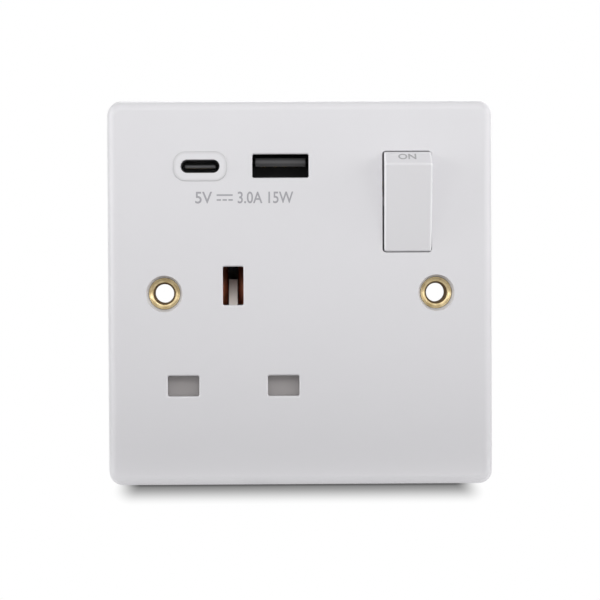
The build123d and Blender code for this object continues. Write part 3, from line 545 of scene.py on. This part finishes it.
frontY = -8.5
rating = {"volts": ("5V", -23.2, -19.45), "load": ("3.0A 15W", -13.8, -1.5), "low": 19.95, "high": 22.55,
          "bar": (-18.45, -14.9, 21.62, 21.98), "dash": (20.55, 20.9), "dashWidth": 0.95, "dashes": 3,
          "thick": 0.02, "bold": 0.012, "lift": 0.001}
printLook = plasticLook("greyPrint", (0.36, 0.355, 0.38), **printFinish)
for label in ("volts", "load"):
    body, left, right = rating[label]
    box = (left, right, rating["low"], rating["high"])
    mesh = letterMesh(body, rating["thick"], rating["bold"])
    mesh = fitLetters(mesh, box, (0, frontY, 0), alongX, alongZ, rating["lift"])
    placePiece(f"rating_{label}", mesh, printLook, "base")
starts = np.linspace(rating["bar"][0], rating["bar"][1] - rating["dashWidth"], rating["dashes"])
bars = [rating["bar"]] + [(start, start + rating["dashWidth"], *rating["dash"]) for start in starts]
symbolY = frontY - rating["lift"]
barPiece("rating_symbol", bars, symbolY, symbolY - rating["thick"], printLook)

# ON lies on the rocker's upper bevel, which runs from its ridge to its foot
onMark = {"box": (-2.19, 1.79, 1.81, 4.17), "thick": 0.02, "bold": 0.02, "lift": 0.002,
          "ridge": (23.86, -12.801, 28.549), "foot": (23.86, -8.5, 31.206)}
onLook = plasticLook("onPrint", (0.4, 0.4, 0.405), **printFinish)
slope = np.array(onMark["foot"]) - np.array(onMark["ridge"])
slope /= np.linalg.norm(slope)
mesh = letterMesh("ON", onMark["thick"], onMark["bold"])
mesh = fitLetters(mesh, onMark["box"], onMark["ridge"], alongX, slope, onMark["lift"])
placePiece("rocker_on", mesh, onLook, "rocker")

# Raised marks on the rear, sunk a little into the housing
rearY = 22.0
rearMarks = {"x": {"N": -26.0, "L": 18.0}, "z": -18.6, "box": (-1.3, 1.3, -1.7, 1.7),
             "thick": 0.3, "sunk": 0.05,
             "earth": [(-15.15, -14.65, -18.6, -16.8), (-16.8, -13.0, -19.1, -18.6),
                       (-16.2, -13.6, -19.9, -19.45), (-15.6, -14.2, -20.7, -20.25)]}
housingLook = looks["housing_plastic"]
for body, x in rearMarks["x"].items():
    origin = (x, rearY, rearMarks["z"])
    mesh = letterMesh(body, rearMarks["thick"])
    mesh = fitLetters(mesh, rearMarks["box"], origin, (-1, 0, 0), alongZ, -rearMarks["sunk"])
    placePiece(f"rear_mark_{body}", mesh, housingLook, "base")
markY = rearY - rearMarks["sunk"]
barPiece("rear_mark_earth", rearMarks["earth"], markY, markY + rearMarks["thick"], housingLook)
print("lettering placed")


# Floor: white paper to the camera away from the plate; near the plate's foot a painted shadow, dark paper
# that also takes the real shade, fading to white
def directRays(tree, path):
    # 1 for rays that show the background as it is: from the camera, off gloss or through glass
    direct = addMath(tree, "MAXIMUM", path["Is Camera Ray"], path["Is Glossy Ray"])
    return addMath(tree, "MAXIMUM", direct, path["Is Transmission Ray"])


floorSheet = {"z": -43.0, "half": 3000.0, "rough": 0.95, "paper": (0.145, 0.145, 0.145, 1)}
shadow = {"least": 0.11, "near": 1.0, "far": 48.0, "middle": -0.7, "half": 34.9, "back": 10.0,
          "endStretch": 7.5, "backStretch": 2.2}
bounce = {"open": (0.66, 0.66, 0.66, 1), "shade": (0.15, 0.15, 0.15, 1), "near": 10.0, "far": 70.0,
          "footY": -9.0, "footHalf": 2.4, "footEdge": 4.6, "footGlow": 0.74}
corners = np.array([[-1, -1], [1, -1], [1, 1], [-1, 1]]) * floorSheet["half"]
floorMesh = bpy.data.meshes.new("floor")
floorMesh.from_pydata((gridRows(*corners.T, floorSheet["z"]) * mm).tolist(), [], [[0, 1, 2, 3]])
floor = bpy.data.objects.new("floor", floorMesh)
scene.collection.objects.link(floor)
floorLook = bpy.data.materials.new("paleFloor")
floorLook.use_nodes = True
floorMesh.materials.append(floorLook)
tree = floorLook.node_tree
path = tree.nodes.new("ShaderNodeLightPath").outputs
matte = tree.nodes["Principled BSDF"]
matte.inputs["Roughness"].default_value = floorSheet["rough"]
matte.inputs["Specular IOR Level"].default_value = 0.0
matte.inputs["Emission Color"].default_value = (1, 1, 1, 1)

# distance from the plate's foot = length(max(-x - half, x - half, -y, y - back, 0)),
# stretched at the ends and the back
ends, back = shadow["endStretch"], shadow["backStretch"]
place = tree.nodes.new("ShaderNodeTexCoord").outputs["Object"]
place = addVector(tree, "SUBTRACT", place, (shadow["middle"] * mm, 0, 0))
endsX, backY = ends * shadow["half"] * mm, back * shadow["back"] * mm
lowSide = addVector(tree, "MULTIPLY", place, (-ends, -1, 0))
lowSide = addVector(tree, "SUBTRACT", lowSide, (endsX, 0, 0))
highSide = addVector(tree, "MULTIPLY", place, (ends, back, 0))
highSide = addVector(tree, "SUBTRACT", highSide, (endsX, backY, 0))
away = addVector(tree, "LENGTH", addVector(tree, "MAXIMUM", addVector(tree, "MAXIMUM", lowSide, highSide)))
# painted shadow: the share of plain white rises from least at near to 1 at far
spread = addRange(tree, away, shadow["near"] * mm, shadow["far"] * mm, shadow["least"], 1, "SMOOTHSTEP")

# light thrown back onto the object: painted shade, a darker floor colour for diffuse rays near the plate,
# and painted light, a strip close to the plate's foot that glows for diffuse rays
split = tree.nodes.new("ShaderNodeSeparateXYZ")
feed(tree, split.inputs[0], place)
fromWall = split.outputs["Y"]
faded = addRange(tree, addMath(tree, "ABSOLUTE", fromWall), bounce["near"] * mm, bounce["far"] * mm, 0, 1)
thrown = addMix(tree, "MIX", faded, bounce["shade"], bounce["open"])
thrown = addMix(tree, "MIX", path["Is Diffuse Ray"], floorSheet["paper"], thrown)
feed(tree, matte.inputs["Base Color"], thrown)
offFoot = addMath(tree, "ABSOLUTE", addMath(tree, "SUBTRACT", fromWall, bounce["footY"] * mm))
glow = addRange(tree, offFoot, bounce["footHalf"] * mm, bounce["footEdge"] * mm, bounce["footGlow"], 0)
feed(tree, matte.inputs["Emission Strength"], addMath(tree, "MULTIPLY", glow, path["Is Diffuse Ray"]))

white = tree.nodes.new("ShaderNodeEmission").outputs[0]
share = addMath(tree, "MULTIPLY", directRays(tree, path), spread)
paper = mixShaders(tree, share, matte.outputs[0], white)
fromBelow = tree.nodes.new("ShaderNodeNewGeometry").outputs["Backfacing"]
clear = tree.nodes.new("ShaderNodeBsdfTransparent").outputs[0]  # the object still shows from below
feed(tree, tree.nodes["Material Output"].inputs["Surface"], mixShaders(tree, fromBelow, paper, clear))

# World: soft light on the object, plain white where it is seen
studio = {"ambient": 0.31, "seen": 1.0}
world = bpy.data.worlds.new("studio")
scene.world = world
world.use_nodes = True
tree = world.node_tree
ambient = tree.nodes["Background"]
seen = tree.nodes.new("ShaderNodeBackground")
for node, strength in ((ambient, studio["ambient"]), (seen, studio["seen"])):
    node.inputs["Color"].default_value = (1, 1, 1, 1)
    node.inputs["Strength"].default_value = strength
direct = directRays(tree, tree.nodes.new("ShaderNodeLightPath").outputs)
sky = mixShaders(tree, direct, ambient.outputs[0], seen.outputs[0])
feed(tree, tree.nodes["World Output"].inputs["Surface"], sky)

# Lamps, in metres, all turned to the origin
lamps = {
    "overhead": {"place": (-0.1, -0.45, 0.75), "size": (0.9, 0.6), "watts": 1.0},
    "leftBox": {"place": (-0.8, -0.13, 0.06), "size": (0.18, 0.6), "watts": 2.9},
    "rightBox": {"place": (0.8, -0.13, 0.06), "size": (0.18, 0.6), "watts": 2.2},
    "leftFill": {"place": (-0.6, -0.42, 0.12), "size": (0.3, 0.3), "watts": 0.82},
    "rightFill": {"place": (0.6, -0.42, 0.12), "size": (0.4, 0.4), "watts": 1.45},
    "frontBox": {"place": (0.0, -0.2, 0.1), "size": (0.3, 0.08), "watts": 0.138},
    "backBox": {"place": (0.36, 0.72, 0.5), "size": (1.1, 1.0), "watts": 4.0},
}
for label, lamp in lamps.items():
    data = bpy.data.lights.new(label, "AREA")
    data.shape = "RECTANGLE"
    data.size, data.size_y = lamp["size"]
    data.energy = lamp["watts"]
    light = bpy.data.objects.new(label, data)
    light.location = lamp["place"]
    light.visible_camera = False
    light.rotation_mode = "QUATERNION"
    light.rotation_quaternion = (-Vector(lamp["place"])).to_track_quat("-Z", "Y")
    scene.collection.objects.link(light)

# Camera: field is the width that it sees at the point it aims at
shot = {"eye": (-10.7, -608.5, 15.2), "aim": (-0.115, -8.5, -1.49), "field": 132.9, "roll": -0.25,
        "sensor": 36.0, "nearest": 10.0}
cameraData = bpy.data.cameras.new("camera")
camera = bpy.data.objects.new("camera", cameraData)
eye, aim = Vector(shot["eye"]) * mm, Vector(shot["aim"]) * mm
cameraData.sensor_width = shot["sensor"]
cameraData.lens = shot["sensor"] * (aim - eye).length / (shot["field"] * mm)
cameraData.clip_start = shot["nearest"] * mm
camera.location = eye
camera.rotation_mode = "QUATERNION"
facing = (aim - eye).to_track_quat("-Z", "Y")
camera.rotation_quaternion = facing @ Quaternion((0, 0, 1), math.radians(shot["roll"]))
scene.collection.objects.link(camera)
scene.camera = camera
scene.view_settings.view_transform = "Standard"
print("stage set")

bpy.context.view_layer.update()
